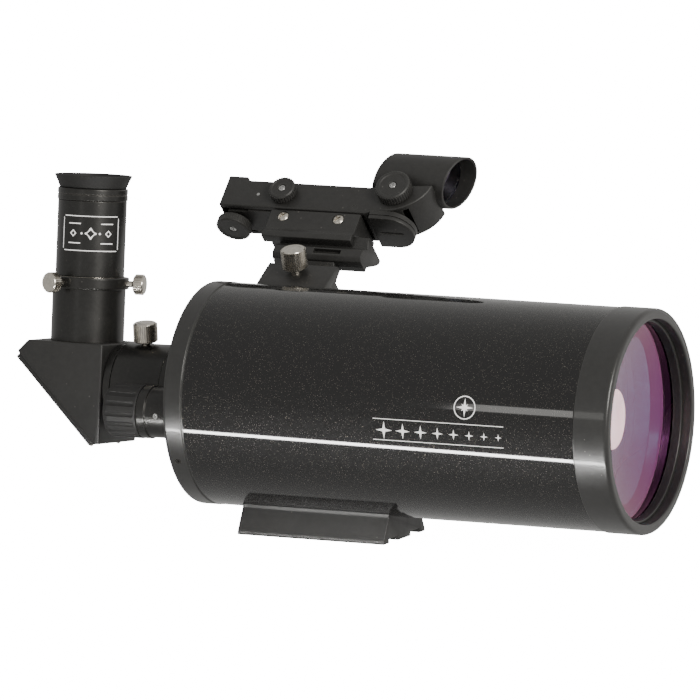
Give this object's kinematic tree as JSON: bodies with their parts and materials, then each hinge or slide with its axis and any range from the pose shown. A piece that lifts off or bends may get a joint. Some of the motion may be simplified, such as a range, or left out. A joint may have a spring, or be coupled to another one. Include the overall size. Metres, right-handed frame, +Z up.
{
  "type": "catadioptric telescope tube with finder and diagonal",
  "caption": "Short Maksutov telescope tube on a dovetail bar, with a star diagonal, an eyepiece, a focus knob and a red-dot finder.",
  "frame": {"origin": "centre of the dovetail bar's bottom face", "axes": "+X along the optical axis towards the sky, +Z up, -Y to the side that carries the focus knob"},
  "size_m": [0.3156, 0.156, 0.166],
  "materials": {
    "tube_paint": "gloss black with fine metallic flake",
    "cell_black": "satin black",
    "black_screw": "blackened",
    "coated_glass": "polished, purple anti-reflection coating",
    "matt_black": "flat black",
    "mirror_coating": "polished",
    "bare_aluminium": "turned",
    "brass": "turned",
    "bright_steel": "satin",
    "anodised_black": "black anodised, satin",
    "rubber_black": "moulded",
    "nickel": "nickel plated",
    "moulded_black": "fine moulded grain",
    "clear_glass": "polished",
    "amber_glass": "polished, red-reflecting coating",
    "red_emitter": "clear red"
  },
  "bodies": {
    "root": {"tube": "tube_paint", "rear_cell": "cell_black", "rear_cell_screws": "black_screw", "front_cell": "cell_black", "corrector": "coated_glass", "corrector_ring": "matt_black", "secondary_spot": "mirror_coating", "secondary_baffle": "matt_black", "baffle_tube": "matt_black", "focus_bushing": "brass", "visual_back": "anodised_black", "visual_back_ring": "anodised_black", "dovetail_bar": "moulded_black", "dovetail_screws": "bright_steel", "finder_shoe": "moulded_black", "shoe_screws": "bright_steel"},
    "primary": {"primary_mirror": "mirror_coating", "mirror_carrier": "bare_aluminium", "mirror_retainer": "matt_black"},
    "focus": {"focus_shaft": "bright_steel", "focus_knob": "anodised_black", "focus_grip": "rubber_black", "focus_grub_screw": "bright_steel"},
    "visual_back_screw": {"visual_back_thumbscrew": "nickel"},
    "diagonal": {"diagonal_nosepiece": "anodised_black", "diagonal_housing": "moulded_black", "diagonal_mirror": "mirror_coating", "diagonal_cover": "moulded_black", "cover_screws": "nickel", "eyepiece_holder": "anodised_black", "holder_collar": "anodised_black"},
    "holder_screw_a": {"holder_thumbscrew_a": "nickel"},
    "holder_screw_b": {"holder_thumbscrew_b": "nickel"},
    "eyepiece": {"eyepiece_barrel": "nickel", "eyepiece_body": "anodised_black", "eyepiece_top_ring": "anodised_black", "eyecup": "rubber_black", "field_lens": "clear_glass", "eye_lens": "clear_glass"},
    "shoe_screw": {"shoe_thumbscrew": "nickel"},
    "finder_base": {"finder_bracket": "moulded_black", "finder_clamp": "moulded_black", "clamp_screws": "nickel", "yaw_pin": "bright_steel"},
    "finder_swivel": {"finder_arm": "moulded_black"},
    "finder_head": {"finder_housing": "moulded_black", "lens_tube": "moulded_black", "finder_lens": "amber_glass", "dot_emitter": "red_emitter", "pitch_pin": "bright_steel", "housing_pin": "bright_steel", "battery_holder": "moulded_black", "coin_cell": "bright_steel"},
    "battery_door": {"battery_cover": "moulded_black"},
    "brightness_dial": {"brightness_knob": "moulded_black"},
    "azimuth_adjuster": {"azimuth_knob": "moulded_black"},
    "altitude_adjuster": {"altitude_knob": "moulded_black"}
  },
  "joints": [
    {"name": "focus_turn", "type": "hinge", "parent": "root", "child": "focus", "pos_m": [-0.062, -0.034, 0.0564], "axis": [1, 0, 0], "range_deg": [-3600, 3600]},
    {"name": "primary_travel", "type": "slide", "parent": "root", "child": "primary", "axis": [1, 0, 0], "range_m": [-0.0075, 0.0075]},
    {"name": "visual_back_screw_turn", "type": "hinge", "parent": "root", "child": "visual_back_screw", "pos_m": [-0.0938, 0, 0.062], "axis": [0, -0.1045, 0.9945], "range_deg": [0, 720]},
    {"name": "diagonal_turn", "type": "hinge", "parent": "root", "child": "diagonal", "pos_m": [-0.092, 0, 0.062], "axis": [1, 0, 0], "continuous": true},
    {"name": "holder_screw_a_turn", "type": "hinge", "parent": "diagonal", "child": "holder_screw_a", "pos_m": [-0.1262, 0.00455, 0.10923], "axis": [-0.342, -0.9354, 0.0901], "range_deg": [0, 720]},
    {"name": "holder_screw_b_turn", "type": "hinge", "parent": "diagonal", "child": "holder_screw_b", "pos_m": [-0.1262, 0.00455, 0.10923], "axis": [0.9848, 0.1728, -0.0166], "range_deg": [0, 720]},
    {"name": "eyepiece_slide", "type": "slide", "parent": "diagonal", "child": "eyepiece", "axis": [0, 0.0958, 0.9954], "range_m": [0, 0.03]},
    {"name": "shoe_screw_turn", "type": "hinge", "parent": "root", "child": "shoe_screw", "pos_m": [-0.031, 0.02751, 0.11836], "axis": [0, -0.2588, 0.9659], "range_deg": [0, 720]},
    {"name": "finder_slide", "type": "slide", "parent": "root", "child": "finder_base", "axis": [1, 0, 0], "range_m": [0, 0.045]},
    {"name": "azimuth_knob_turn", "type": "hinge", "parent": "finder_head", "child": "azimuth_adjuster", "pos_m": [-0.0559, 0.06937, 0.14692], "axis": [0, -0.7071, 0.7071], "range_deg": [-600, 600]},
    {"name": "finder_yaw", "type": "hinge", "parent": "finder_base", "child": "finder_swivel", "pos_m": [-0.032, 0.07212, 0.13412], "axis": [0, 0.7071, 0.7071], "range_deg": [-2, 2]},
    {"name": "altitude_knob_turn", "type": "hinge", "parent": "finder_swivel", "child": "altitude_adjuster", "pos_m": [-0.0815, 0.06859, 0.13059], "axis": [0, 0.7071, 0.7071], "range_deg": [-2000, 400]},
    {"name": "finder_pitch", "type": "hinge", "parent": "finder_swivel", "child": "finder_head", "pos_m": [-0.018, 0.07319, 0.13519], "axis": [0, -0.7071, 0.7071], "range_deg": [-2.5, 0.5]},
    {"name": "brightness_turn", "type": "hinge", "parent": "finder_head", "child": "brightness_dial", "pos_m": [-0.0002, 0.07269, 0.15025], "axis": [0, -0.7071, 0.7071], "range_deg": [0, 270]},
    {"name": "battery_cover_lift", "type": "slide", "parent": "finder_head", "child": "battery_door", "axis": [0, -0.7071, -0.7071], "range_m": [0, 0.008]}
  ],
  "couplings": [
    {"joint": "focus_turn", "follows": "primary_travel", "rad_per_m": 8377.6},
    {"joint": "finder_yaw", "follows": "azimuth_knob_turn", "ratio": 0.0033333},
    {"joint": "finder_pitch", "follows": "altitude_knob_turn", "ratio": 0.00125}
  ]
}
